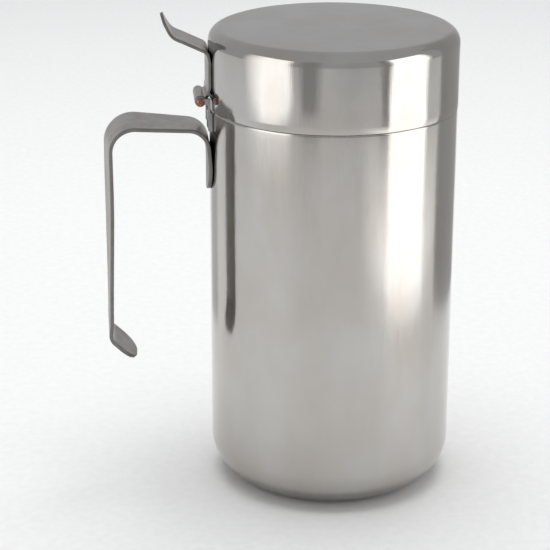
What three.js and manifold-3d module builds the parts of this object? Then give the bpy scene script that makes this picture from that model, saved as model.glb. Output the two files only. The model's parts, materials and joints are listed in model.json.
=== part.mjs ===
// Stainless steel urine bottle with a hinged cap lid, a thumb lever and an open strip handle.
//
// Millimetres, +Z up. The origin is the centre of the flat base, and the bottle's axis is +Z.
// The hinge and the handle are on the -X side. Profiles are drawn in the plane of the bottle's
// axis, as (r, z): r is the distance from the axis, so on the handle's side x = -r.

import * as THREE from 'three';
import { mergeVertices } from 'three/addons/utils/BufferGeometryUtils.js';
import Module from 'manifold-3d';

// ---------- driving dimensions ----------

const SEGMENTS = 60; // facets round the drawn shells

// drawn bottle
const BODY_RADIUS = 50;
const SHEET = 0.8;
const BASE_CORNER = 17;
const SHOULDER_HEIGHT = 159.95; // top of the step that the lid's edge sits round
const SHOULDER_CORNER = 1.2;
const NECK_RADIUS = 45.1; // outside of the neck
const RIM_HEIGHT = 182; // top of the rolled rim
const RIM_ROLL = 1.0; // middle of the sheet round the roll
const RIM_WRAP = 250; // degrees of roll

// cap lid
const LID_RADIUS = 50.4;
const LID_TOP = 191;
const LID_EDGE = 159.8; // lower edge of the skirt
const LID_CORNER = 5.5;

// hinge
const PIN_R = 54.0; // the pin's distance from the bottle's axis
const PIN_Z = 163.4;
const PIN_RADIUS = 0.95;
const PIN_HOLE_RADIUS = 1.02;
const PIN_HEAD_RADIUS = 1.75;
const PIN_HEAD_HEIGHT = 1.35;
const HEAD_FLATNESS = 0.6; // below 1 the domed head is fuller than a half ellipse
const HEAD_GAP = 0.06; // between a head and its cheek

// bracket on the bottle: a web on the wall and two cheeks that hold the pin
const BRACKET_SHEET = 1.0;
const CHEEK_INNER = 8.5; // from the middle plane to a cheek's inner face
const WEB_BOTTOM = 151.2;
const WEB_TOP = 158.7;
const CHEEK_FOOT_R = 49.35; // where a cheek's foot meets the wall, in the cheek's own plane
const CHEEK_FOOT_TOP = 158.9; // above this a cheek stands clear of the lid's skirt
const ARM_HALF_HEIGHT = 1.25; // of the arm between cheek and pin
const EYE_RADIUS = 2.05;

// strips
const STRIP_WIDTH = 20;
const LEVER_SHEET = 1.2;
const HANDLE_SHEET = 1.5;
const WELD_GAP = 0.06; // between a strip's middle line and the wall that it is spot-welded to

// thumb lever
const KNUCKLE_WIDTH = 16.2;
const KNUCKLE_ROLL = 1.62; // middle of the sheet round the pin
const VALLEY_BEND = 1.4;
const LEVER_SLOPE = 25; // degrees above the horizontal
const THUMB_SLOPE = 62;
const LEVER_KNEE_Z = 183.1; // where the middle lines of the leg and of the slope meet
const LEVER_KNEE_BEND = 2.5;
const LEVER_RUN = 14.0; // along the slope, from knee to thumb bend
const THUMB_BEND = 7;
const THUMB_RUN = 9.6;
const THUMB_ROUND = 9.9;
const NOTCH_TOP = 166.4; // the leg narrows to the knuckle below this
const NOTCH_CUT = 4; // the size of the cutter's overrun

// handle
const ROOT_END_Z = 125.3;
const ROOT_ROUND = 9.9;
const ROOT_BEND = 8.5;
const ROOT_BEND_Z = 143.3; // where the root leg ends and its bend starts
const TOP_SLOPE = 4.4; // degrees, rising away from the bottle
const TOP_RUN = 21.0;
const OUTER_BEND = 10.5;
const GRIP_LEAN = 0.9; // degrees, outwards towards the foot
const GRIP_RUN = 77.2;
const FOOT_BEND = 5;
const FOOT_SLOPE = 43; // degrees below the horizontal, back towards the bottle
const FOOT_RUN = 12.3;
const FOOT_ROUND = 8;

const ARC_STEP = 12; // degrees of a strip's bend to one facet
const ROLL_STEP = 42; // the same for the rolled rim
const CIRCLE_FACETS = 24;

// ---------- materials ----------

function steel(name, shade, roughness) {
  const material = new THREE.MeshStandardMaterial({ metalness: 1, roughness });
  material.name = name;
  material.color.setRGB(shade, shade, shade * 0.985);
  return material;
}

const bodySteel = steel('body_steel', 0.62, 0.26);
const lidSteel = steel('lid_steel', 0.6, 0.22);
const handleSteel = steel('handle_steel', 0.52, 0.34);
const leverSteel = steel('lever_steel', 0.54, 0.32);
const bracketSteel = steel('bracket_steel', 0.5, 0.34);
const rivetCopper = new THREE.MeshStandardMaterial({ color: 0x8a4a3a, metalness: 1, roughness: 0.4 });

// ---------- paths of bent sheet ----------

const radians = THREE.MathUtils.degToRad;

// The middle line of a bent sheet, drawn by moving forward and bending. Positive bends turn left.
class SheetPath {
  constructor(r, z, headingDegrees) {
    this.position = new THREE.Vector2(r, z);
    this.heading = radians(headingDegrees);
    this.stations = [];
    this.mark();
  }

  mark() {
    const left = new THREE.Vector2(-Math.sin(this.heading), Math.cos(this.heading));
    this.stations.push({ point: this.position.clone(), left });
  }

  forward(length) {
    this.position.x += length * Math.cos(this.heading);
    this.position.y += length * Math.sin(this.heading);
    this.mark();
    return this;
  }

  bend(radius, degrees, step = ARC_STEP) {
    const steps = Math.max(2, Math.ceil(Math.abs(degrees) / step));
    const turn = radians(degrees) / steps;
    const side = Math.sign(degrees);
    const start = this.heading;
    const centre = new THREE.Vector2(-Math.sin(start), Math.cos(start)).multiplyScalar(side * radius);
    centre.add(this.position);
    for (let i = 1; i <= steps; i++) {
      this.heading = start + turn * i;
      this.position.x = centre.x + side * radius * Math.sin(this.heading);
      this.position.y = centre.y - side * radius * Math.cos(this.heading);
      this.mark();
    }
    return this;
  }

  // The outline of the sheet: down one side of the middle line and back up the other.
  outline(thickness) {
    const side = (sign) => this.stations.map(({ point, left }) => (
      point.clone().addScaledVector(left, sign * thickness / 2)
    ));
    return [...side(-1), ...side(1).reverse()];
  }
}

// ---------- solids ----------

const wasm = await Module();
wasm.setup();

function toManifold(geometry) {
  const bare = geometry.clone();
  bare.deleteAttribute('normal');
  bare.deleteAttribute('uv');
  const merged = mergeVertices(bare, 1e-4);
  return new wasm.Manifold(new wasm.Mesh({
    numProp: 3,
    vertProperties: new Float32Array(merged.attributes.position.array),
    triVerts: new Uint32Array(merged.index.array),
  }));
}

function toGeometry(manifold) {
  const mesh = manifold.getMesh();
  const geometry = new THREE.BufferGeometry();
  geometry.setAttribute('position', new THREE.BufferAttribute(mesh.vertProperties, 3));
  geometry.setIndex(new THREE.BufferAttribute(mesh.triVerts, 1));
  const faceted = geometry.toNonIndexed();
  faceted.computeVertexNormals();
  return faceted;
}

function revolve(outline) {
  return new THREE.LatheGeometry(outline, SEGMENTS).rotateX(Math.PI / 2);
}

// Extrudes an (r, z) shape across the hinge side, width wide and with its middle at middleY.
function across(shape, width, middleY = 0) {
  const options = { depth: width, bevelEnabled: false, curveSegments: CIRCLE_FACETS };
  const geometry = new THREE.ExtrudeGeometry(shape, options);
  geometry.translate(0, 0, middleY - width / 2);
  geometry.rotateX(Math.PI / 2);
  return geometry.rotateZ(Math.PI);
}

// A square corner less its rounding, as a cutter that runs through the sheet at a strip's end.
function cornerCutter(radius, side) {
  const overrun = 1;
  const shape = new THREE.Shape();
  shape.moveTo(-radius, overrun);
  shape.lineTo(-radius, 0);
  shape.absarc(-radius, -radius, radius, Math.PI / 2, 0, true);
  shape.lineTo(overrun, -radius);
  shape.lineTo(overrun, overrun);
  shape.closePath();
  const reach = 4;
  const options = { depth: reach, bevelEnabled: false, curveSegments: CIRCLE_FACETS / 2 };
  const geometry = new THREE.ExtrudeGeometry(shape, options);
  geometry.translate(0, 0, -reach / 2);
  if (side < 0) {
    geometry.rotateX(Math.PI);
  }
  return geometry.translate(0, side * STRIP_WIDTH / 2, 0);
}

// Rounds both corners of the strip end that lies at (r, z) and points along headingDegrees.
function roundEnd(strip, r, z, headingDegrees, radius) {
  let rounded = strip;
  for (const side of [-1, 1]) {
    const cutter = cornerCutter(radius, side);
    cutter.rotateY(radians(headingDegrees - 180));
    cutter.translate(-r, 0, z);
    rounded = rounded.subtract(toManifold(cutter));
  }
  return rounded;
}

// A block from inner to outer radius on the hinge side, width wide and with its middle at middleY.
function block(inner, outer, width, middleY, bottom, top) {
  const geometry = new THREE.BoxGeometry(outer - inner, width, top - bottom);
  return geometry.translate(-(inner + outer) / 2, middleY, (bottom + top) / 2);
}

// ---------- sub-parts ----------

function vesselGeometry() {
  const half = SHEET / 2;
  const neckMiddle = NECK_RADIUS - half;
  const step = BODY_RADIUS - half - neckMiddle;
  const bend = SHOULDER_CORNER - half;
  const wallTop = SHOULDER_HEIGHT - SHOULDER_CORNER;
  const neckFoot = SHOULDER_HEIGHT - half + bend;
  const path = new SheetPath(0, half, 0);
  path.forward(BODY_RADIUS - BASE_CORNER);
  path.bend(BASE_CORNER - half, 90, 15);
  path.forward(wallTop - BASE_CORNER);
  path.bend(bend, 90, 30);
  path.forward(step - 2 * bend);
  path.bend(bend, -90, 30);
  path.forward(RIM_HEIGHT - RIM_ROLL - half - neckFoot);
  path.bend(RIM_ROLL, -RIM_WRAP, ROLL_STEP);
  return revolve(path.outline(SHEET));
}

function lidGeometry() {
  const half = SHEET / 2;
  const path = new SheetPath(0, LID_TOP - half, 0);
  path.forward(LID_RADIUS - LID_CORNER);
  path.bend(LID_CORNER - half, -90, 15);
  path.forward(LID_TOP - LID_CORNER - LID_EDGE);
  return revolve(path.outline(SHEET));
}

function thumbLeverGeometry() {
  const legR = LID_RADIUS + WELD_GAP + LEVER_SHEET / 2;
  const reach = PIN_R - legR - VALLEY_BEND;
  const wrap = 90 + THREE.MathUtils.radToDeg(Math.asin(reach / (VALLEY_BEND + KNUCKLE_ROLL)));
  const valleyZ = PIN_Z + Math.sqrt((VALLEY_BEND + KNUCKLE_ROLL) ** 2 - reach ** 2);
  const kneeTurn = 90 - LEVER_SLOPE;
  const kneeCut = LEVER_KNEE_BEND * Math.tan(radians(kneeTurn / 2));
  const thumbTurn = THUMB_SLOPE - LEVER_SLOPE;
  const thumbCut = THUMB_BEND * Math.tan(radians(thumbTurn / 2));

  const path = new SheetPath(PIN_R - KNUCKLE_ROLL, PIN_Z, -90);
  path.bend(KNUCKLE_ROLL, 180 + wrap, 20);
  path.bend(VALLEY_BEND, -wrap, 20);
  path.forward(LEVER_KNEE_Z - kneeCut - valleyZ);
  path.bend(LEVER_KNEE_BEND, -kneeTurn);
  path.forward(LEVER_RUN - kneeCut - thumbCut);
  path.bend(THUMB_BEND, thumbTurn);
  path.forward(THUMB_RUN - thumbCut);

  let lever = toManifold(across(new THREE.Shape(path.outline(LEVER_SHEET)), STRIP_WIDTH));
  lever = roundEnd(lever, path.position.x, path.position.y, THUMB_SLOPE, THUMB_ROUND);
  for (const side of [-1, 1]) {
    const middle = side * (KNUCKLE_WIDTH + NOTCH_CUT) / 2;
    const notch = block(legR - NOTCH_CUT, PIN_R + NOTCH_CUT, NOTCH_CUT, middle, PIN_Z - NOTCH_CUT, NOTCH_TOP);
    lever = lever.subtract(toManifold(notch));
  }
  return toGeometry(lever);
}

function handleGeometry() {
  const rootR = BODY_RADIUS + WELD_GAP + HANDLE_SHEET / 2;
  const path = new SheetPath(rootR, ROOT_END_Z, 90);
  path.forward(ROOT_BEND_Z - ROOT_END_Z);
  path.bend(ROOT_BEND, TOP_SLOPE - 90);
  path.forward(TOP_RUN);
  path.bend(OUTER_BEND, GRIP_LEAN - 90 - TOP_SLOPE);
  path.forward(GRIP_RUN);
  path.bend(FOOT_BEND, FOOT_SLOPE - 90 - GRIP_LEAN);
  path.forward(FOOT_RUN);

  let handle = toManifold(across(new THREE.Shape(path.outline(HANDLE_SHEET)), STRIP_WIDTH));
  handle = roundEnd(handle, path.position.x, path.position.y, FOOT_SLOPE - 180, FOOT_ROUND);
  handle = roundEnd(handle, rootR, ROOT_END_Z, -90, ROOT_ROUND);
  return toGeometry(handle);
}

// One cheek's side view: a flange up the wall, an arm out to the pin and an eye round it.
function cheekShape() {
  const clear = BODY_RADIUS + WELD_GAP;
  const outer = clear + BRACKET_SHEET;
  const armAngle = Math.asin(ARM_HALF_HEIGHT / EYE_RADIUS);
  const shape = new THREE.Shape();
  shape.moveTo(CHEEK_FOOT_R, WEB_BOTTOM);
  shape.lineTo(outer, WEB_BOTTOM);
  shape.lineTo(outer, PIN_Z - ARM_HALF_HEIGHT);
  shape.absarc(PIN_R, PIN_Z, EYE_RADIUS, Math.PI + armAngle, Math.PI - armAngle, false);
  shape.lineTo(clear, PIN_Z + ARM_HALF_HEIGHT);
  shape.lineTo(clear, CHEEK_FOOT_TOP);
  shape.lineTo(CHEEK_FOOT_R, CHEEK_FOOT_TOP);
  shape.closePath();
  const hole = new THREE.Path();
  hole.absarc(PIN_R, PIN_Z, PIN_HOLE_RADIUS, 0, 2 * Math.PI, false);
  shape.holes.push(hole);
  return shape;
}

// The web follows the wall's curve between the two cheeks.
function hingeBracketGeometry() {
  const inner = BODY_RADIUS + WELD_GAP;
  const outer = inner + BRACKET_SHEET;
  const width = 2 * (CHEEK_INNER + BRACKET_SHEET);
  const corners = [[inner, WEB_BOTTOM], [outer, WEB_BOTTOM], [outer, WEB_TOP], [inner, WEB_TOP]];
  const section = [...corners, corners[0]].map(([r, z]) => new THREE.Vector2(r, z));
  const sleeve = revolve(section);
  const span = block(0, outer + BRACKET_SHEET, width, 0, 0, WEB_TOP + BRACKET_SHEET);
  let bracket = toManifold(sleeve).intersect(toManifold(span));
  for (const side of [-1, 1]) {
    const middle = side * (CHEEK_INNER + BRACKET_SHEET / 2);
    bracket = bracket.add(toManifold(across(cheekShape(), BRACKET_SHEET, middle)));
  }
  return toGeometry(bracket);
}

// A rivet along Y: a plain shank with a domed head on each end.
function hingePinGeometry() {
  const shoulder = CHEEK_INNER + BRACKET_SHEET + HEAD_GAP;
  const domeSteps = 5;
  const head = [];
  for (let i = 0; i <= domeSteps; i++) {
    const angle = (Math.PI / 2) * (i / domeSteps);
    const radius = PIN_HEAD_RADIUS * Math.cos(angle) ** HEAD_FLATNESS;
    head.push(new THREE.Vector2(i === domeSteps ? 0 : radius, PIN_HEAD_HEIGHT * Math.sin(angle)));
  }
  const upper = head.map(({ x, y }) => new THREE.Vector2(x, shoulder + y));
  const lower = head.map(({ x, y }) => new THREE.Vector2(x, -shoulder - y)).reverse();
  const outline = [
    ...lower,
    new THREE.Vector2(PIN_RADIUS, -shoulder),
    new THREE.Vector2(PIN_RADIUS, shoulder),
    ...upper,
  ];
  const pin = new THREE.LatheGeometry(outline, CIRCLE_FACETS);
  return pin.translate(-PIN_R, 0, PIN_Z);
}

// ---------- assembly ----------

function part(name, geometry, material) {
  const mesh = new THREE.Mesh(geometry, material);
  mesh.name = name;
  return mesh;
}

const bottle = new THREE.Group();
bottle.add(
  part('vessel', vesselGeometry(), bodySteel),
  part('handle', handleGeometry(), handleSteel),
  part('hinge_bracket', hingeBracketGeometry(), bracketSteel),
  part('hinge_pin', hingePinGeometry(), rivetCopper),
);

const cover = new THREE.Group();
cover.add(
  part('lid', lidGeometry(), lidSteel),
  part('thumb_lever', thumbLeverGeometry(), leverSteel),
);

const urineBottle = new THREE.Group();
urineBottle.add(bottle, cover);

export default urineBottle;
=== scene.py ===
"""A stainless steel urine bottle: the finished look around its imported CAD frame.

Every piece is rebuilt as a fine mesh on the CAD node's own sizes. Profiles are drawn in the plane
of the bottle's axis as (r, z), in metres, where r is the distance from the axis. The hinge and the
handle are on the -X side, so there x = -r.
"""
import json
import math

import bmesh
import bpy
from mathutils import Matrix, Vector, noise


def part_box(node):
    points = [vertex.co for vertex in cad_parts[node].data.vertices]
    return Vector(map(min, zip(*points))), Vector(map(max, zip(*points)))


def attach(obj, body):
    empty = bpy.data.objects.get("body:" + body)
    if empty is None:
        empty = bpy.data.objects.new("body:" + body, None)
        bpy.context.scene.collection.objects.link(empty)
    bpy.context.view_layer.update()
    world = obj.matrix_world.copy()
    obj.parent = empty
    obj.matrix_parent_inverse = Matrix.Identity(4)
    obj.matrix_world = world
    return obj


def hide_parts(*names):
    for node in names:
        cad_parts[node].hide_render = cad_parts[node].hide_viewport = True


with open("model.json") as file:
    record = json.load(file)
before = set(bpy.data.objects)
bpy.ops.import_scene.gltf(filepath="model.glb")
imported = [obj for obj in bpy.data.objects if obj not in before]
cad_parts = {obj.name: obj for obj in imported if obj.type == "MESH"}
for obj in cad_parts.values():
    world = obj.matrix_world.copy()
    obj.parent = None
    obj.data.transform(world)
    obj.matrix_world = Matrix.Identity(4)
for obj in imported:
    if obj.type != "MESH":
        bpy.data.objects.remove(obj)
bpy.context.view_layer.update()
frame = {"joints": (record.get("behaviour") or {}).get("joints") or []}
MM = 0.001

# ---------- sizes from the frame ----------

_, VESSEL_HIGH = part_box("vessel")
LID_LOW, LID_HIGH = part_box("lid")
HANDLE_LOW, HANDLE_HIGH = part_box("handle")
BRACKET_LOW, BRACKET_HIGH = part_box("hinge_bracket")
RIVET_LOW, RIVET_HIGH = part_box("hinge_pin")

BODY_RADIUS = VESSEL_HIGH.x
LID_RADIUS = LID_HIGH.x
LID_TOP = LID_HIGH.z
LID_EDGE = LID_LOW.z
STRIP_WIDTH = HANDLE_HIGH.y - HANDLE_LOW.y
PIN = Vector(frame["joints"][0]["pos_m"])
PIN_R = -PIN.x
PIN_Z = PIN.z

# ---------- sizes that the boxes don't give, as in the CAD ----------
# A roll's or a bend's radius is to the middle of the sheet. Slopes, wraps and leans are in degrees.

SHEET = 0.8 * MM
BASE_CORNER = 17 * MM
SHOULDER_HEIGHT = 159.95 * MM
SHOULDER_CORNER = 1.2 * MM
NECK_RADIUS = 45.1 * MM
RIM_ROLL = 1.0 * MM
RIM_WRAP = 250
LID_CORNER = 5.5 * MM

WELD_GAP = 0.06 * MM
TIP_FLAT = 0.1 * MM  # by which a rounded end's radius is less than half the strip's width

LEVER_SHEET = 1.2 * MM
KNUCKLE_WIDTH = 16.2 * MM
KNUCKLE_ROLL = 1.62 * MM
VALLEY_BEND = 1.4 * MM
LEVER_SLOPE = 25
THUMB_SLOPE = 62
LEVER_KNEE_Z = 183.1 * MM  # where the middle lines of the leg and of the slope meet
LEVER_KNEE_BEND = 2.5 * MM
LEVER_RUN = 14.0 * MM
THUMB_BEND = 7 * MM
THUMB_RUN = 9.6 * MM
NOTCH_TOP = 166.4 * MM  # the leg narrows to the knuckle below this

HANDLE_SHEET = 1.5 * MM
HANDLE_ROOT_Z = 125.3 * MM
ROOT_BEND = 8.5 * MM
ROOT_BEND_Z = 143.3 * MM
TOP_SLOPE = 4.4
TOP_RUN = 21.0 * MM
OUTER_BEND = 10.5 * MM
GRIP_LEAN = 0.9
GRIP_RUN = 77.2 * MM
FOOT_BEND = 5 * MM
FOOT_SLOPE = 43
FOOT_RUN = 12.3 * MM
FOOT_ROUND = 8 * MM

BRACKET_SHEET = 1.0 * MM
ARM_HALF_HEIGHT = 1.25 * MM
EYE_RADIUS = 2.05 * MM
PIN_HOLE_RADIUS = 1.02 * MM
PIN_RADIUS = 0.95 * MM
WEB_TOP = 158.7 * MM
CHEEK_FOOT_R = 49.35 * MM
CHEEK_FOOT_TOP = 158.9 * MM

# ---------- what the CAD leaves out: rounded edges and the marks of hand work ----------

SHELL_EDGE = 0.25 * MM
LEVER_EDGE = 0.22 * MM
HANDLE_EDGE = 0.3 * MM
CHEEK_EDGE = 0.12 * MM
BRACKET_CORNER = 0.6 * MM
BRACKET_FILLET = 1.0 * MM
NOTCH_RUN = 1.6 * MM  # of leg, over which the lever narrows

# (greatest depth, waves to a body radius, where in the noise) of the pressed walls' unevenness
VESSEL_WAVES = (0.18 * MM, 2.6, 3.0)
LID_WAVES = (0.40 * MM, 3.8, 11.0)
WAVE_STRETCH = 0.55  # waves up a wall for one round it
WAVE_FADE = 4  # the power of the radius by which they fade towards the axis
CALM_FROM = 14  # degrees from the hinge, inside which the walls are true
CALM_TO = 34  # and outside which they are fully uneven

# (mm along the strip, degrees), a positive twist carrying the far edge outwards
HANDLE_TWIST = (
    (0, 0), (19, 0), (59, 5.2), (85, 6), (141, 2.2), (153, -1.4), (162, -1.4),
)
# (mm along the strip, mm inwards), so that the twisted strip keeps inside its outer line
HANDLE_TUCK = ((0, 0), (61, 0), (101, 0.45), (139, 0.45), (153, 0), (162, 0))
# (mm past the start of the thumb's bend, mm outwards), a hand-formed curl
THUMB_CURL = ((-1, 0), (6, 0.85), (8, 0.85), (12, 0.4))
LEVER_HUG = 0.9  # how closely the lever's leg follows the skirt's curve, 1 being exactly
HUG_FADE = 3 * MM  # of leg, over which that curve comes and goes
ROOT_HUG = 0.7  # how closely the handle's root follows the body's curve
ROOT_FLAT = 20 * MM  # along the strip, where the root has become flat again

DOME_FULLNESS = 0.85  # below 1 the rivet's domed head is fuller than a half ellipse
DOME_SHARE = 0.86  # of a head's height, above its short side
HEAD_TAPER = 0.97  # of a head's radius, where it meets its cheek
HAMMER_SIZE = 1.3 * MM
HAMMER_DEPTH = 0.06 * MM
HAMMER_CALM = 0.05  # taken off the marks' strength up to the shank's radius

# ---------- how fine the meshes are ----------

SHELL_SEGMENTS = 240
RIVET_SEGMENTS = 48
FINE_ARC = 3  # degrees of a bend to one facet
ROLL_ARC = 6  # the same for the lever's roll
WALL_STEP = 3 * MM  # between stations on a shell's straight runs
STRIP_STEP = 1 * MM  # between stations on a strip's straight runs
STRIP_COLUMNS = 20
EDGE_STEPS = 3
NOTCH_STEPS = 12
TIP_STEPS = 42
TIP_TURN = 84  # degrees, where a rounded end's arc stops at its short flat tip
DOME_STEPS = 12
CORNER_STEPS = 6
FILLET_STEPS = 8
EYE_STEPS = 40
HOLE_SIDES = 36
WEB_STEPS = 24
BEVEL_STEPS = 2
MERGE_DISTANCE = 0.001 * MM
SHARP = 40  # degrees between faces, beyond which an edge is drawn sharp
PLATE_SHARP = 30

# ---------- camera and stage, in metres and degrees ----------

CAMERA_DISTANCE = 0.7435
CAMERA_HEIGHT = 0.355
CAMERA_TURN = 6.92
CAMERA_PAN = -1.80
CAMERA_TILT = 19.92
CAMERA_ROLL = 0.11
CAMERA_LENS = 124.4  # mm, on a sensor of the width below
CAMERA_SENSOR = 36
CAMERA_NEAREST = 0.05

FLOOR_RADIUS = 6.0
FLOOR_SEGMENTS = 96
FLOOR_GAP = 0.05 * MM  # below the bottle's foot, so that no faces coincide
FLOOR_TONES = ((0.86, 0.86, 0.855), (0.9, 0.9, 0.895))
WORLD_TINT = (0.97, 0.98, 1.0, 1)
WORLD_LIGHT = 0.54
KEY_HEIGHT = 1.5
KEY_BEHIND = 0.2
KEY_SIZE = (1.2, 1.2)
KEY_POWER = 16
CARD_COLUMNS = 12


# ---------- sheet paths ----------

class SheetPath:
    """The middle line of a bent sheet, drawn by moving forward and bending.

    Positive bends turn left. Each run keeps its start as a length, a point and a heading, then its
    curvature and its own length.
    """

    def __init__(self, r, z, heading):
        self.position = Vector((r, z))
        self.heading = math.radians(heading)
        self.length = 0.0
        self.runs = []

    def add(self, length, curvature):
        run = (self.length, self.position, self.heading, curvature, length)
        self.runs.append(run)
        self.position, self.heading = self.along(run, length)
        self.length += length

    def forward(self, length):
        self.add(length, 0.0)

    def bend(self, radius, degrees):
        self.add(radius * math.radians(abs(degrees)), math.copysign(1 / radius, degrees))

    @staticmethod
    def along(run, distance):
        """The point and heading at that distance into a run."""
        _, start, heading, curvature, _ = run
        if not curvature:
            return start + Vector((math.cos(heading), math.sin(heading))) * distance, heading
        turned = heading + curvature * distance
        chord = Vector(
            (math.sin(turned) - math.sin(heading), math.cos(heading) - math.cos(turned))
        )
        return start + chord / curvature, turned

    def at(self, length):
        """The point and the left-hand normal at that length along the path."""
        run = next((run for run in reversed(self.runs) if run[0] <= length), self.runs[0])
        point, heading = self.along(run, length - run[0])
        return point, Vector((-math.sin(heading), math.cos(heading)))

    def lengths(self, spacing, arc=FINE_ARC):
        """Lengths for stations: that spacing or so on straight runs, that many degrees in bends."""
        found = [0.0]
        for start, _, _, curvature, length in self.runs:
            if curvature:
                steps = max(2, math.ceil(math.degrees(abs(curvature) * length) / arc))
            else:
                steps = max(1, round(length / spacing))
            found += [start + length * (i + 1) / steps for i in range(steps)]
        return found

    def outline(self, thickness, spacing, edge):
        """Along the right of the middle line, round the end's edges and back along its left."""
        half = thickness / 2
        lengths = [length for length in self.lengths(spacing) if length < self.length - edge]
        stations = [self.at(length) for length in lengths]
        right = [point - left * half for point, left in stations]
        back = [point + left * half for point, left in reversed(stations)]
        lip = []
        for i in range(EDGE_STEPS + 1):
            angle = math.radians(90 * i / EDGE_STEPS)
            point, left = self.at(self.length - edge * (1 - math.sin(angle)))
            lip.append((point, left * (half - edge * (1 - math.cos(angle)))))
        round_right = [point - offset for point, offset in lip]
        round_left = [point + offset for point, offset in reversed(lip)]
        return right + round_right + round_left + back


# ---------- mesh helpers ----------

def smooth(value, low, high):
    """0 below low, 1 above high and an eased rise between."""
    t = max(0.0, min(1.0, (value - low) / (high - low)))
    return t * t * (3 - 2 * t)


def between(value, knots):
    """The eased value between (place, value) knots."""
    result = knots[0][1]
    for (start, low), (stop, high) in zip(knots, knots[1:]):
        if value >= start:
            result = low + (high - low) * smooth(value, start, stop)
    return result


def new_object(name, mesh):
    piece = bpy.data.objects.new(name, mesh)
    bpy.context.scene.collection.objects.link(piece)
    return piece


def shade(mesh, sharp):
    """Smooth shading that breaks where faces meet at more than that many degrees."""
    mesh.shade_smooth()
    mesh.set_sharp_from_angle(angle=math.radians(sharp))


def evaluated(piece):
    """The mesh that a piece's curve or modifiers make."""
    graph = bpy.context.evaluated_depsgraph_get()
    return bpy.data.meshes.new_from_object(piece.evaluated_get(graph))


def from_bmesh(name, bm, sharp=SHARP):
    bmesh.ops.recalc_face_normals(bm, faces=bm.faces)
    mesh = bpy.data.meshes.new(name)
    bm.to_mesh(mesh)
    bm.free()
    shade(mesh, sharp)
    return new_object(name, mesh)


def apply_modifiers(piece, sharp):
    """Swaps the piece's mesh for the one its modifiers make."""
    mesh = evaluated(piece)
    piece.modifiers.clear()
    piece.data = mesh
    shade(mesh, sharp)


def revolve(name, outline, segments, sway):
    """Turns an (r, z) outline that starts and ends on the axis about Z.

    sway(angle, r, z) is what is added to the radius there.
    """
    bm = bmesh.new()
    first = bm.verts.new((0, 0, outline[0].y))
    last = bm.verts.new((0, 0, outline[-1].y))
    rings = []
    for point in outline[1:-1]:
        ring = []
        for i in range(segments):
            angle = 2 * math.pi * i / segments
            radius = point.x + sway(angle, point.x, point.y)
            ring.append(bm.verts.new((radius * math.cos(angle), radius * math.sin(angle), point.y)))
        rings.append(ring)
    for i in range(segments):
        j = (i + 1) % segments
        bm.faces.new((first, rings[0][j], rings[0][i]))
        bm.faces.new((last, rings[-1][i], rings[-1][j]))
        for low, high in zip(rings, rings[1:]):
            bm.faces.new((low[i], low[j], high[j], high[i]))
    return from_bmesh(name, bm)


def rounded_end(half, radius):
    """Stations from a strip's rounded end inwards.

    Each is its distance from the end, half width and turn of the edge in radians.
    """
    stations = []
    for i in range(TIP_STEPS + 1):
        turn = math.radians(TIP_TURN) * (1 - i / TIP_STEPS)
        stations.append((radius * (1 - math.sin(turn)), half - radius * (1 - math.cos(turn)), turn))
    return stations


def far_end(path, half, radius):
    """The same for the path's far end, still from the end inwards."""
    stations = rounded_end(half, radius)
    return [(path.length - distance, width, -turn) for distance, width, turn in stations]


def strip(name, path, thickness, stations, edge, warp):
    """A bent strip. Each station is its length along the path, half width and turn of the edge.

    edge is the edges' rounding. warp(length, across) is how far the sheet stands off its flat section.
    Its edges and ends take the second material and its lower face the third.
    """
    round_over = [math.radians(90 * i / EDGE_STEPS) for i in range(EDGE_STEPS + 1)]
    upper = [
        (edge * (1 - math.sin(angle)), thickness / 2 - edge * (1 - math.cos(angle)))
        for angle in round_over
    ]
    profile = upper + [(inset, -height) for inset, height in reversed(upper)]
    bm = bmesh.new()

    def vertex(length, across, height):
        point, left = path.at(max(0.0, min(path.length, length)))
        point = point + left * (height + warp(length, across))
        return bm.verts.new((-point.x, across, point.y))

    def row(first, last, length, height):
        """Vertices between two edge vertices, both included."""
        low, high = first.co.y, last.co.y
        steps = [low + (high - low) * i / STRIP_COLUMNS for i in range(1, STRIP_COLUMNS)]
        return [first] + [vertex(length, across, height) for across in steps] + [last]

    def skin(near, far, material=0):
        for a, b, c, d in zip(near, near[1:], far[1:], far):
            bm.faces.new((a, b, c, d)).material_index = material

    rings = []
    for length, half, turn in stations:
        sides = []
        for side in (-1, 1):
            sides.append([
                vertex(
                    length + inset * math.sin(turn),
                    side * (half - inset * math.cos(turn)),
                    height,
                )
                for inset, height in profile
            ])
        ends = [length + inset * math.sin(turn) for inset, _ in profile]
        top = row(sides[0][0], sides[1][0], ends[0], profile[0][1])
        bottom = row(sides[0][-1], sides[1][-1], ends[-1], profile[-1][1])
        rings.append((sides, ends, top, bottom))
    for near, far in zip(rings, rings[1:]):
        skin(near[2], far[2])
        skin(near[3], far[3], 2)
        skin(near[0][0], far[0][0], 1)
        skin(near[0][1], far[0][1], 1)
    for sides, ends, top, bottom in (rings[0], rings[-1]):
        rows = [top]
        for i in range(1, len(profile) - 1):
            rows.append(row(sides[0][i], sides[1][i], ends[i], profile[i][1]))
        rows.append(bottom)
        for near, far in zip(rows, rows[1:]):
            skin(near, far, 1)
    return from_bmesh(name, bm)


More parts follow.
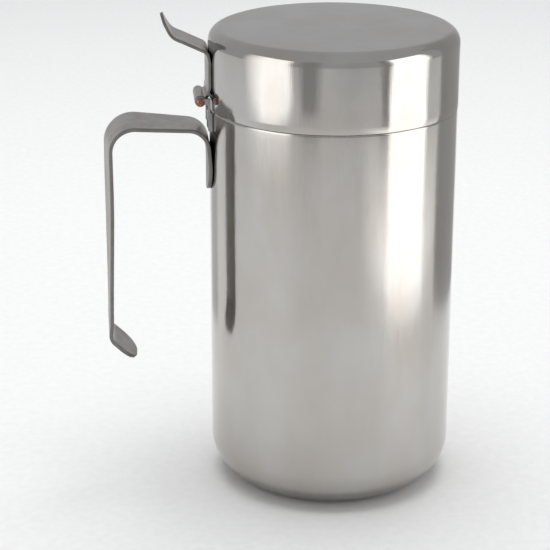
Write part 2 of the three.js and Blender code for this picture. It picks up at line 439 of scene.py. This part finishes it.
def plate(name, outlines, thickness, edge_round):
    """A flat plate with rounded edges, in the XZ plane about y = 0.

    The first outline is its rim and the others are holes.
    """
    curve = bpy.data.curves.new(name, "CURVE")
    curve.dimensions = "2D"
    curve.fill_mode = "BOTH"
    for outline in outlines:
        spline = curve.splines.new("POLY")
        spline.points.add(len(outline) - 1)
        for point, (r, z) in zip(spline.points, outline):
            point.co = (-r, z, 0, 1)
        spline.use_cyclic_u = True
    curve.extrude = thickness / 2 - edge_round
    curve.bevel_depth = edge_round
    curve.bevel_resolution = BEVEL_STEPS
    curve.offset = -edge_round
    shape = new_object(name, curve)
    mesh = evaluated(shape)
    bpy.data.objects.remove(shape)
    mesh.transform(Matrix.Rotation(math.pi / 2, 4, "X"))
    bm = bmesh.new()
    bm.from_mesh(mesh)
    bmesh.ops.remove_doubles(bm, verts=bm.verts, dist=MERGE_DISTANCE)
    return from_bmesh(name, bm, sharp=PLATE_SHARP)


def arc(centre_r, centre_z, radius, start, end, steps):
    """Points on an arc, angles in degrees."""
    points = []
    for i in range(steps + 1):
        angle = math.radians(start + (end - start) * i / steps)
        r = centre_r + radius * math.cos(angle)
        z = centre_z + radius * math.sin(angle)
        points.append((r, z))
    return points


def join(name, parts):
    """One object from several, united so that no faces are left inside."""
    base = parts[0]
    for other in parts[1:]:
        union = base.modifiers.new("union", "BOOLEAN")
        union.operation = "UNION"
        union.solver = "EXACT"
        union.object = other
        apply_modifiers(base, PLATE_SHARP)
        bpy.data.objects.remove(other)
    base.name = name
    return base


# ---------- materials ----------

# how fine the polishing lines are along X, Y and Z: they run the way where that is lowest
UPRIGHT_LINES = (900, 900, 90)
STRIP_LINES = (300, 2400, 300)
EDGE_LINES = (2400, 300, 2400)
BRACKET_LINES = (1200, 300, 1200)

# stretches of a noise's values that are mapped to tones or roughness
NOISE_MIDDLE = (0.35, 0.65)
NOISE_SPAN = (0.3, 0.7)
NOISE_PEAKS = (0.45, 0.75)

STAIN_RISE = 0.6  # stains are longer up the piece than round it
STAIN_TINT = (0.7, 1.0, 1.25)  # how much of a stain each of red, green and blue takes
WARM_GREEN = 0.4  # of a steel's warmth, taken from green, where blue loses all of it
GRAIN_ROUGHNESS = (0.85, 1.15)  # of a steel's own, at its smoothest and its roughest
GRAIN_DEPTH = 0.012 * MM
SMUDGE_SIZE = 24
SMUDGE_ROUGHNESS = 0.35

COPPER_DARK = (0.16, 0.065, 0.05)
COPPER_LIGHT = (0.52, 0.25, 0.19)
COPPER_ROUGHNESS = (0.5, 0.3)  # where it is dark and where it is bright
COPPER_PATCH = 900
PIT_SIZE = 1400
PIT_DEPTH = 0.08 * MM

PAPER_FIBRE = 260
PAPER_ROUGHNESS = 0.8


class Shader:
    """A node material being wired up."""

    def __init__(self, name, metallic, specular=0.5):
        self.material = bpy.data.materials.new(name)
        self.material.use_nodes = True
        self.tree = self.material.node_tree
        self.surface = self.tree.nodes["Principled BSDF"]
        self.surface.inputs["Metallic"].default_value = metallic
        self.surface.inputs["Specular IOR Level"].default_value = specular
        self.coordinates = self.tree.nodes.new("ShaderNodeTexCoord").outputs["Object"]

    def node(self, kind, **values):
        node = self.tree.nodes.new(kind)
        for key, value in values.items():
            setattr(node, key, value)
        return node

    def link(self, output, target):
        self.tree.links.new(output, target)

    def scaled(self, x, y, z):
        mapping = self.node("ShaderNodeMapping")
        mapping.inputs["Scale"].default_value = (x, y, z)
        self.link(self.coordinates, mapping.inputs["Vector"])
        return mapping.outputs["Vector"]

    def noise(self, vector, scale, detail=3.0, roughness=0.5, distortion=0.0):
        texture = self.node("ShaderNodeTexNoise")
        texture.inputs["Scale"].default_value = scale
        texture.inputs["Detail"].default_value = detail
        texture.inputs["Roughness"].default_value = roughness
        texture.inputs["Distortion"].default_value = distortion
        self.link(vector, texture.inputs["Vector"])
        return texture.outputs["Fac"]

    def spread(self, value, low, high, to_low, to_high):
        """Maps low..high to to_low..to_high, held at the ends."""
        mapped = self.node("ShaderNodeMapRange")
        mapped.inputs["From Min"].default_value = low
        mapped.inputs["From Max"].default_value = high
        mapped.inputs["To Min"].default_value = to_low
        mapped.inputs["To Max"].default_value = to_high
        self.link(value, mapped.inputs["Value"])
        return mapped.outputs["Result"]

    def combine(self, operation, first, second):
        maths = self.node("ShaderNodeMath", operation=operation)
        for socket, value in zip(maths.inputs, (first, second)):
            if isinstance(value, (int, float)):
                socket.default_value = value
            else:
                self.link(value, socket)
        return maths.outputs["Value"]

    def blend(self, factor, first, second):
        mix = self.node("ShaderNodeMix", data_type="RGBA")
        colours = [socket for socket in mix.inputs if socket.type == "RGBA"]
        for socket, value in zip(colours, (first, second)):
            if isinstance(value, tuple):
                socket.default_value = (*value, 1)
            else:
                self.link(value, socket)
        self.link(factor, mix.inputs["Factor"])
        return next(socket for socket in mix.outputs if socket.type == "RGBA")

    def bump(self, height, distance, strength=1.0):
        bump = self.node("ShaderNodeBump")
        bump.inputs["Distance"].default_value = distance
        bump.inputs["Strength"].default_value = strength
        self.link(height, bump.inputs["Height"])
        self.link(bump.outputs["Normal"], self.surface.inputs["Normal"])


def steel(name, tone, warmth, roughness, lines, stain=0.06, patch=38, brushed=0.0):
    """Stainless steel, of that tone and warmth.

    lines is the polishing lines' scale along X, Y and Z. stain is how much the tone wanders, at
    the scale patch. brushed is how strongly its highlights are drawn out, by a radial tangent
    given a quarter turn.
    """
    shader = Shader(name, metallic=1.0)
    mottle = shader.noise(shader.scaled(1, 1, STAIN_RISE), patch, detail=4, roughness=0.6)
    light = (tone, tone * (1 - warmth * WARM_GREEN), tone * (1 - warmth))
    dark = tuple(channel * (1 - stain * part) for channel, part in zip(light, STAIN_TINT))
    shader.link(
        shader.blend(shader.spread(mottle, *NOISE_MIDDLE, 0, 1), dark, light),
        shader.surface.inputs["Base Color"],
    )
    grain = shader.noise(shader.scaled(*lines), 1.0, detail=2, roughness=0.7)
    smudge = shader.noise(shader.scaled(1, 1, 1), SMUDGE_SIZE, detail=5, roughness=0.62)
    finest, coarsest = (roughness * part for part in GRAIN_ROUGHNESS)
    rough = shader.combine(
        "ADD",
        shader.spread(grain, *NOISE_SPAN, finest, coarsest),
        shader.spread(smudge, *NOISE_PEAKS, 0, roughness * SMUDGE_ROUGHNESS),
    )
    shader.link(rough, shader.surface.inputs["Roughness"])
    if brushed:
        shader.surface.inputs["Anisotropic"].default_value = brushed
        shader.surface.inputs["Anisotropic Rotation"].default_value = 0.25
        tangent = shader.node("ShaderNodeTangent", direction_type="RADIAL", axis="Z")
        shader.link(tangent.outputs["Tangent"], shader.surface.inputs["Tangent"])
    shader.bump(grain, GRAIN_DEPTH)
    return shader.material


def copper(name):
    """A dull copper rivet, browned in patches and finely pitted."""
    shader = Shader(name, metallic=1.0)
    mottle = shader.noise(shader.scaled(1, 1, 1), COPPER_PATCH, detail=4, roughness=0.6)
    shader.link(
        shader.blend(shader.spread(mottle, *NOISE_MIDDLE, 0, 1), COPPER_DARK, COPPER_LIGHT),
        shader.surface.inputs["Base Color"],
    )
    shader.link(
        shader.spread(mottle, *NOISE_SPAN, *COPPER_ROUGHNESS),
        shader.surface.inputs["Roughness"],
    )
    shader.bump(shader.noise(shader.scaled(1, 1, 1), PIT_SIZE, detail=3), PIT_DEPTH)
    return shader.material


# ---------- pieces ----------

def wavy(amount, scale, seed):
    """A pressed wall's slight unevenness: it falls inside the true radius by up to that amount."""
    def sway(angle, radius, z):
        from_hinge = abs(math.degrees(angle) - 180)
        up = z / BODY_RADIUS * scale * WAVE_STRETCH + seed
        spot = Vector((math.cos(angle) * scale, math.sin(angle) * scale, up))
        fade = min(1.0, radius / BODY_RADIUS) ** WAVE_FADE
        strength = fade * smooth(from_hinge, CALM_FROM, CALM_TO)
        return amount * (noise.noise(spot) - 1) / 2 * strength
    return sway


def make_vessel():
    """The drawn body: flat base, rounded corner, wall, shoulder, neck and rolled rim."""
    half = SHEET / 2
    bend = SHOULDER_CORNER - half
    ledge = BODY_RADIUS - SHOULDER_CORNER - NECK_RADIUS - bend + half
    rim_start = VESSEL_HIGH.z - RIM_ROLL - half
    path = SheetPath(0, half, 0)
    path.forward(BODY_RADIUS - BASE_CORNER)
    path.bend(BASE_CORNER - half, 90)
    path.forward(SHOULDER_HEIGHT - SHOULDER_CORNER - BASE_CORNER)
    path.bend(bend, 90)
    path.forward(ledge)
    path.bend(bend, -90)
    path.forward(rim_start - (SHOULDER_HEIGHT - half + bend))
    path.bend(RIM_ROLL, -RIM_WRAP)
    outline = path.outline(SHEET, WALL_STEP, SHELL_EDGE)
    return revolve("vessel_shell", outline, SHELL_SEGMENTS, wavy(*VESSEL_WAVES))


def make_lid():
    """The pressed cap: flat top, rounded corner and skirt."""
    half = SHEET / 2
    path = SheetPath(0, LID_TOP - half, 0)
    path.forward(LID_RADIUS - LID_CORNER)
    path.bend(LID_CORNER - half, -90)
    path.forward(LID_TOP - LID_CORNER - LID_EDGE)
    outline = path.outline(SHEET, WALL_STEP, SHELL_EDGE)
    return revolve("lid_shell", outline, SHELL_SEGMENTS, wavy(*LID_WAVES))


def make_lever():
    """The thumb lever: rolled round the rivet, up the skirt, out along its slope and up again."""
    leg_r = LID_RADIUS + WELD_GAP + LEVER_SHEET / 2
    reach = PIN_R - leg_r - VALLEY_BEND
    hub = VALLEY_BEND + KNUCKLE_ROLL
    wrap = 90 + math.degrees(math.asin(reach / hub))
    valley_z = PIN_Z + math.sqrt(hub ** 2 - reach ** 2)
    knee_turn = 90 - LEVER_SLOPE
    knee_cut = LEVER_KNEE_BEND * math.tan(math.radians(knee_turn / 2))
    thumb_turn = THUMB_SLOPE - LEVER_SLOPE
    thumb_cut = THUMB_BEND * math.tan(math.radians(thumb_turn / 2))
    path = SheetPath(PIN_R - KNUCKLE_ROLL, PIN_Z, -90)
    path.bend(KNUCKLE_ROLL, 180 + wrap)
    path.bend(VALLEY_BEND, -wrap)
    notch_top = path.length + NOTCH_TOP - valley_z
    path.forward(LEVER_KNEE_Z - knee_cut - valley_z)
    leg_high = path.length
    path.bend(LEVER_KNEE_BEND, -knee_turn)
    path.forward(LEVER_RUN - knee_cut - thumb_cut)
    thumb_start = path.length
    path.bend(THUMB_BEND, thumb_turn)
    path.forward(THUMB_RUN - thumb_cut)

    narrow = KNUCKLE_WIDTH / 2
    wide = STRIP_WIDTH / 2
    stations = []
    for length in path.lengths(STRIP_STEP, arc=ROLL_ARC):
        if length < notch_top - NOTCH_RUN - STRIP_STEP / 2:
            stations.append((length, narrow, 0))
    for i in range(NOTCH_STEPS + 1):
        t = i / NOTCH_STEPS
        slope = (wide - narrow) * 6 * t * (1 - t) / NOTCH_RUN
        half = narrow + (wide - narrow) * smooth(t, 0, 1)
        stations.append((notch_top - NOTCH_RUN * (1 - t), half, math.atan(slope)))
    end = far_end(path, wide, wide - TIP_FLAT)
    for length in path.lengths(STRIP_STEP):
        if notch_top + STRIP_STEP / 2 < length < end[-1][0] - STRIP_STEP / 4:
            stations.append((length, wide, 0))
    stations += reversed(end)

    def hand_formed(length, across):
        """The leg is pressed to the skirt's curve where it is welded, and the thumb end curls."""
        rise = smooth(length, notch_top, notch_top + HUG_FADE)
        fall = 1 - smooth(length, leg_high - HUG_FADE, leg_high + HUG_FADE)
        curve = LID_RADIUS - math.sqrt(LID_RADIUS ** 2 - across ** 2)
        hug = LEVER_HUG * curve * rise * fall
        return hug - between((length - thumb_start) / MM, THUMB_CURL) * MM

    return strip("lever_strip", path, LEVER_SHEET, stations, LEVER_EDGE, hand_formed)


def make_handle():
    """The handle: its root on the body, its top, its grip and its open foot."""
    path = SheetPath(BODY_RADIUS + WELD_GAP + HANDLE_SHEET / 2, HANDLE_ROOT_Z, 90)
    path.forward(ROOT_BEND_Z - HANDLE_ROOT_Z)
    path.bend(ROOT_BEND, TOP_SLOPE - 90)
    path.forward(TOP_RUN)
    path.bend(OUTER_BEND, GRIP_LEAN - 90 - TOP_SLOPE)
    path.forward(GRIP_RUN)
    path.bend(FOOT_BEND, FOOT_SLOPE - 90 - GRIP_LEAN)
    path.forward(FOOT_RUN)

    wide = STRIP_WIDTH / 2
    start = rounded_end(wide, wide - TIP_FLAT)
    end = far_end(path, wide, FOOT_ROUND)
    middle = [
        (length, wide, 0)
        for length in path.lengths(STRIP_STEP)
        if start[-1][0] + STRIP_STEP / 4 < length < end[-1][0] - STRIP_STEP / 4
    ]

    def hand_bent(length, across):
        """The root is pressed to the body's curve, and the bending left the strip twisted."""
        twist = math.sin(math.radians(between(length / MM, HANDLE_TWIST)))
        hug = ROOT_HUG * (1 - smooth(length, ROOT_FLAT / 2, ROOT_FLAT))
        curve = BODY_RADIUS - math.sqrt(BODY_RADIUS ** 2 - across ** 2)
        return twist * across - between(length / MM, HANDLE_TUCK) * MM + hug * curve

    stations = start + middle + end[::-1]
    return strip("handle_strip", path, HANDLE_SHEET, stations, HANDLE_EDGE, hand_bent)


def make_bracket():
    """A folded sheet: a web that follows the wall and two cheeks whose arms reach out to the rivet."""
    clear = BODY_RADIUS + WELD_GAP
    outer = clear + BRACKET_SHEET
    low = BRACKET_LOW.z
    corner = BRACKET_CORNER
    fillet = BRACKET_FILLET
    arm_low = PIN_Z - ARM_HALF_HEIGHT
    arm_top = PIN_Z + ARM_HALF_HEIGHT
    eye_half = math.degrees(math.asin(ARM_HALF_HEIGHT / EYE_RADIUS))
    rim = [(CHEEK_FOOT_R, low)]
    rim += arc(outer - corner, low + corner, corner, -90, 0, CORNER_STEPS)
    rim += arc(outer + fillet, arm_low - fillet, fillet, 180, 90, FILLET_STEPS)
    rim += arc(PIN_R, PIN_Z, EYE_RADIUS, -180 + eye_half, 180 - eye_half, EYE_STEPS)
    rim += arc(clear + corner, arm_top - corner, corner, 90, 180, CORNER_STEPS)
    rim += [(clear, CHEEK_FOOT_TOP), (CHEEK_FOOT_R, CHEEK_FOOT_TOP)]
    hole = arc(PIN_R, PIN_Z, PIN_HOLE_RADIUS, 0, 360 - 360 / HOLE_SIDES, HOLE_SIDES - 1)
    cheek_y = BRACKET_HIGH.y - BRACKET_SHEET / 2
    parts = []
    for side in (-1, 1):
        cheek = plate("cheek", [rim, hole], BRACKET_SHEET, CHEEK_EDGE)
        cheek.data.transform(Matrix.Translation((0, side * cheek_y, 0)))
        parts.append(cheek)
    parts.insert(1, make_web(clear, outer, cheek_y))
    return join("bracket_fold", parts)


def make_web(inner, outer, half_width):
    """The web between the cheeks' middles, curved round the wall."""
    low = BRACKET_LOW.z + CHEEK_EDGE / 2
    section = ((inner, low), (outer, low), (outer, WEB_TOP), (inner, WEB_TOP))
    bm = bmesh.new()
    columns = []
    for i in range(WEB_STEPS + 1):
        across = half_width * (2 * i / WEB_STEPS - 1)
        columns.append([
            bm.verts.new((-math.sqrt(radius ** 2 - across ** 2), across, z))
            for radius, z in section
        ])
    for near, far in zip(columns, columns[1:]):
        for i in range(4):
            bm.faces.new((near[i], near[(i + 1) % 4], far[(i + 1) % 4], far[i]))
    bm.faces.new(columns[0])
    bm.faces.new(columns[-1])
    return from_bmesh("web", bm)


def make_rivet():
    """The rivet: a shank with a domed head, hammered over, on each end."""
    head_radius = (RIVET_HIGH.z - RIVET_LOW.z) / 2
    tip = RIVET_HIGH.y
    head_height = tip - BRACKET_HIGH.y - WELD_GAP
    profile = [(0, tip)]
    for i in range(1, DOME_STEPS + 1):
        angle = math.radians(90 * i / DOME_STEPS)
        drop = head_height * (1 - math.cos(angle)) * DOME_SHARE
        profile.append((head_radius * math.sin(angle) ** DOME_FULLNESS, tip - drop))
    profile.append((head_radius * HEAD_TAPER, tip - head_height))
    profile.append((PIN_RADIUS, tip - head_height))
    outline = profile + [(radius, -y) for radius, y in reversed(profile)]

    def hammered(angle, radius, y):
        """Hammer marks, which fade out towards a head's middle."""
        spot = Vector((math.cos(angle) * radius, math.sin(angle) * radius, y)) * (1 / HAMMER_SIZE)
        strength = min(1.0, radius / PIN_RADIUS - HAMMER_CALM)
        return HAMMER_DEPTH * (noise.noise(spot) - 0.5) * strength

    points = [Vector(point) for point in outline]
    rivet = revolve("hinge_rivet", points, RIVET_SEGMENTS, hammered)
    upright = Matrix.Rotation(math.pi / 2, 4, "X")
    rivet.data.transform(Matrix.Translation((PIN.x, 0, PIN_Z)) @ upright)
    return rivet


# ---------- stage ----------

def aim(thing, target):
    thing.rotation_mode = "QUATERNION"
    thing.rotation_quaternion = (Vector(target) - thing.location).to_track_quat("-Z", "Y")


def area_light(name, location, target, size, power):
    """A softbox that lights the floor. Neither the camera nor the steel sees it."""
    light = bpy.data.lights.new(name, "AREA")
    light.shape = "RECTANGLE"
    light.size, light.size_y = size
    light.energy = power
    lamp = bpy.data.objects.new(name, light)
    bpy.context.scene.collection.objects.link(lamp)
    lamp.location = location
    aim(lamp, target)
    lamp.visible_camera = False
    lamp.visible_glossy = False


def card_material(name, width, low, high, radiance, fades, density):
    """A glow that fades out towards the card's edges, over those distances."""
    near_fade, far_fade, low_fade, head_fade = fades
    shader = Shader(name, metallic=0.0)
    shader.tree.nodes.remove(shader.surface)
    axes = shader.node("ShaderNodeSeparateXYZ")
    shader.link(shader.coordinates, axes.inputs["Vector"])
    near = shader.spread(axes.outputs["X"], -width / 2, -width / 2 + near_fade, 0, density)
    far = shader.spread(axes.outputs["X"], width / 2 - far_fade, width / 2, 1, 0)
    foot = shader.spread(axes.outputs["Z"], low, low + low_fade, 0, 1)
    head = shader.spread(axes.outputs["Z"], high - head_fade, high, 1, 0)
    across = shader.combine("MULTIPLY", near, far)
    upright = shader.combine("MULTIPLY", foot, head)
    cover = shader.combine("MULTIPLY", across, upright)
    glow = shader.node("ShaderNodeEmission")
    glow.inputs["Strength"].default_value = radiance
    mix = shader.node("ShaderNodeMixShader")
    shader.link(cover, mix.inputs[0])
    shader.link(shader.node("ShaderNodeBsdfTransparent").outputs[0], mix.inputs[1])
    shader.link(glow.outputs[0], mix.inputs[2])
    shader.link(mix.outputs[0], shader.tree.nodes["Material Output"].inputs["Surface"])
    return shader.material


def card(name, azimuth, distance, width, low, high, radiance,
         near_fade=0.01, far_fade=0.01, low_fade=0.01, head_fade=0.02, density=1.0):
    """An upright card facing the bottle, bright or dark, that only the steel's reflections see.

    low and high are its edges' heights. near_fade is at the edge of lower azimuth, far_fade at the other.
    """
    bm = bmesh.new()
    columns = []
    for i in range(CARD_COLUMNS + 1):
        offset = width * (i / CARD_COLUMNS - 0.5)
        columns.append([bm.verts.new((offset, 0, z)) for z in (low, high)])
    for near, far in zip(columns, columns[1:]):
        bm.faces.new((near[0], far[0], far[1], near[1]))
    sheet = from_bmesh(name, bm)
    sheet.location = around(azimuth, distance, 0)
    sheet.rotation_euler.z = math.radians(azimuth)
    fades = (near_fade, far_fade, low_fade, head_fade)
    material = card_material(name + "_glow", width, low, high, radiance, fades, density)
    sheet.data.materials.append(material)
    sheet.visible_camera = False
    sheet.visible_diffuse = False
    sheet.visible_shadow = False


def around(azimuth, distance, height):
    """A place round the bottle. Azimuth 0 is towards the camera's side, -Y, and 90 towards +X."""
    angle = math.radians(azimuth)
    return Vector((math.sin(angle) * distance, -math.cos(angle) * distance, height))


def make_floor():
    """A wide sheet of pale paper."""
    bm = bmesh.new()
    bmesh.ops.create_circle(bm, cap_ends=True, segments=FLOOR_SEGMENTS, radius=FLOOR_RADIUS)
    floor = from_bmesh("floor", bm)
    floor.location.z = -FLOOR_GAP
    shader = Shader("floor_paper", metallic=0.0, specular=0.2)
    fibre = shader.noise(shader.scaled(1, 1, 1), PAPER_FIBRE, detail=4)
    shader.link(
        shader.blend(shader.spread(fibre, *NOISE_SPAN, 0, 1), *FLOOR_TONES),
        shader.surface.inputs["Base Color"],
    )
    shader.surface.inputs["Roughness"].default_value = PAPER_ROUGHNESS
    floor.data.materials.append(shader.material)


def make_world():
    """An even, faintly cool light from all round."""
    world = bpy.data.worlds.new("studio")
    bpy.context.scene.world = world
    world.use_nodes = True
    background = world.node_tree.nodes["Background"]
    background.inputs["Color"].default_value = WORLD_TINT
    background.inputs["Strength"].default_value = WORLD_LIGHT


def make_camera():
    """The camera goes round by its turn, then looks down by its tilt and aside by its pan."""
    camera = bpy.data.cameras.new("camera")
    camera.lens = CAMERA_LENS
    camera.sensor_width = CAMERA_SENSOR
    camera.clip_start = CAMERA_NEAREST
    holder = bpy.data.objects.new("camera", camera)
    bpy.context.scene.collection.objects.link(holder)
    turn = math.radians(CAMERA_TURN)
    pan = math.radians(CAMERA_PAN)
    tilt = math.radians(CAMERA_TILT)
    roll = math.radians(CAMERA_ROLL)
    holder.location = (
        -CAMERA_DISTANCE * math.sin(turn),
        -CAMERA_DISTANCE * math.cos(turn),
        CAMERA_HEIGHT,
    )
    heading = Matrix.Rotation(-turn - pan, 4, "Z")
    look = heading @ Matrix.Rotation(math.pi / 2 - tilt, 4, "X") @ Matrix.Rotation(roll, 4, "Z")
    holder.rotation_mode = "QUATERNION"
    holder.rotation_quaternion = look.to_quaternion()
    bpy.context.scene.camera = holder


# ---------- the bottle ----------

def place(piece, materials, node, body):
    """Puts a finished piece in its CAD node's place. strip() says which material goes where."""
    for material in materials:
        piece.data.materials.append(material)
    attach(piece, body)
    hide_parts(node)


# tone, warmth, roughness and lines
body_steel = steel("body_steel", 0.505, 0.065, 0.13, UPRIGHT_LINES, stain=0.11, brushed=0.8)
lid_steel = steel("lid_steel", 0.49, 0.045, 0.09, UPRIGHT_LINES, stain=0.14)
strip_steel = steel("strip_steel", 0.46, 0.03, 0.28, STRIP_LINES, stain=0.22, patch=170)
# cut edges and ends: rougher and duller, as sheared steel is, and their darker tone is partly that and
# partly painted shade for the dark reflections on the edges facing the camera
dull_shaded_edge_steel = steel("dull_shaded_edge_steel", 0.23, 0.05, 0.40, EDGE_LINES, stain=0.2, patch=300)
# the handle's inner face takes a darker tone: painted shade, so the handle looks darker where that face
# shows and in its reflection in the body
inner_shaded_steel = steel("inner_shaded_steel", 0.38, 0.03, 0.34, STRIP_LINES, stain=0.25, patch=170)
# the hinge bracket's darker tone is painted shade, which tones down its bright reflections under the
# lid's skirt
bracket_steel = steel("bracket_steel", 0.30, 0.03, 0.32, BRACKET_LINES)

place(make_vessel(), [body_steel], "vessel", "bottle")
place(make_lid(), [lid_steel], "lid", "cover")
place(make_lever(), [strip_steel, dull_shaded_edge_steel, strip_steel], "thumb_lever", "cover")
place(make_handle(), [strip_steel, dull_shaded_edge_steel, inner_shaded_steel], "handle", "bottle")
place(make_bracket(), [bracket_steel], "hinge_bracket", "bottle")
place(make_rivet(), [copper("rivet_copper")], "hinge_pin", "bottle")

make_floor()
make_world()
make_camera()
area_light("key_above", around(180, KEY_BEHIND, KEY_HEIGHT), (0, 0, 0), KEY_SIZE, KEY_POWER)

# azimuth, distance, width, lower and upper edge, and radiance
card("right_card", 60, 0.26, 0.20, 0.0, 0.35, 2.4, near_fade=0.02, far_fade=0.02)
card("right_glow", 60, 0.27, 0.50, 0.0, 0.085, 2.0, near_fade=0.17, far_fade=0.25, head_fade=0.05)
card("left_card", -66, 0.44, 0.40, 0.045, 0.45, 2.2, near_fade=0.16, far_fade=0.05, low_fade=0.02)
card("back_flag", -140, 0.19, 0.09, 0.0, 0.2, 0.6, near_fade=0.02, far_fade=0.02)
card("right_flag", 122, 0.22, 0.24, 0.0, 0.4, 0.42, near_fade=0.02, far_fade=0.05)
card("front_flag_left", -27, 0.62, 0.26, 0.0, 0.6, 0.38, near_fade=0.08, far_fade=0.08)
card("front_flag_right", 38, 0.62, 0.14, 0.0, 0.6, 0.38, near_fade=0.05, far_fade=0.05)
card("front_haze", 12, 0.66, 0.6, 0.0, 0.6, 0.4, near_fade=0.25, far_fade=0.25, density=0.35)

bpy.context.scene.view_settings.view_transform = "Standard"
